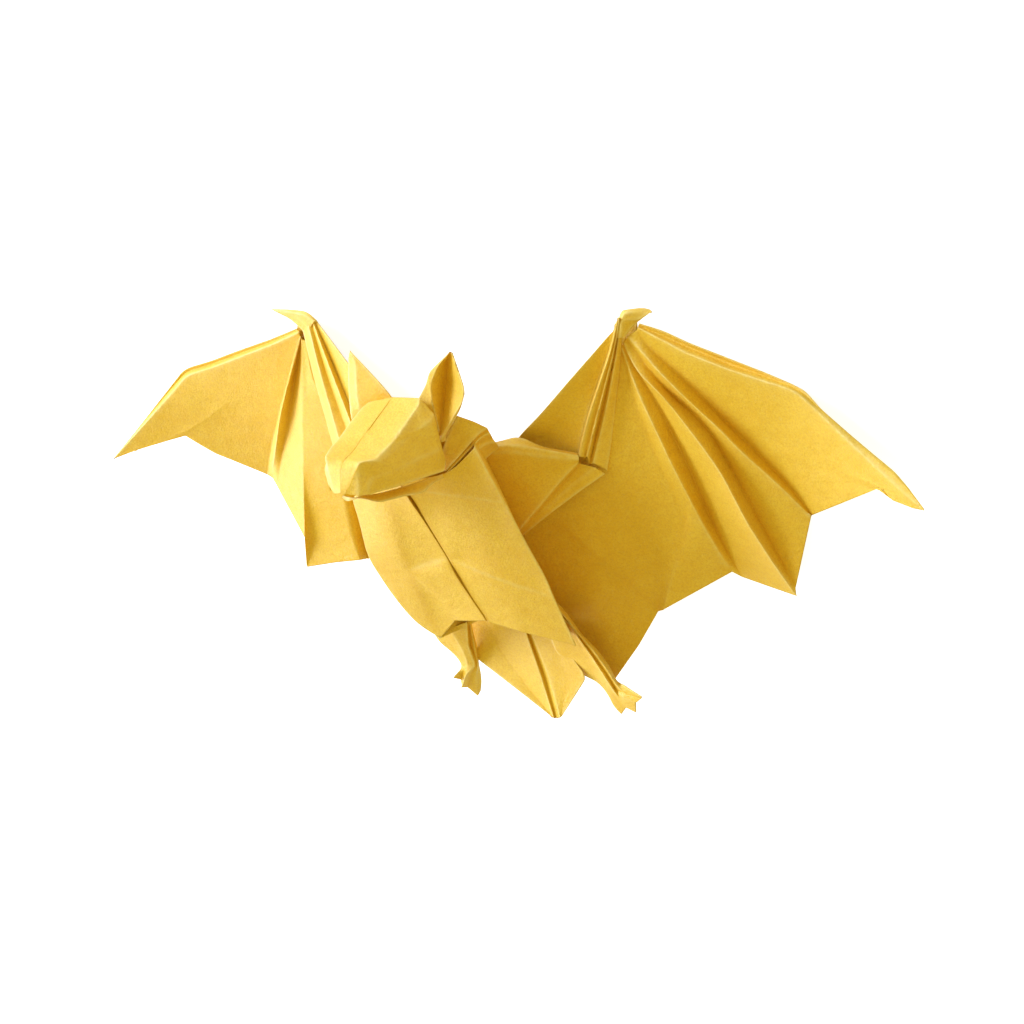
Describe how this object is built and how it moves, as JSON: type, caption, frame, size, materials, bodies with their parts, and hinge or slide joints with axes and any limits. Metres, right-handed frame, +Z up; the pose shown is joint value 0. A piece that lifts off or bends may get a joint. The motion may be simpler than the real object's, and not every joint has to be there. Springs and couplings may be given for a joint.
{
  "type": "origami bat",
  "caption": "Bat folded from a single square of yellow paper, with spread pleated wings, a hollow body, a head with two ears and small clawed feet.",
  "frame": {"origin": "bottom centre of the whole bat as it lies on its back, on the surface it rests on", "axes": "+X out along the bat's left wing, +Y from the tail towards the head, +Z up from the surface"},
  "size_m": [0.1898, 0.0836, 0.0414],
  "materials": {
    "yellow_paper": "matt, with a fine fibrous grain"
  },
  "bodies": {
    "root": {"folded_sheet": "yellow_paper"}
  },
  "joints": []
}
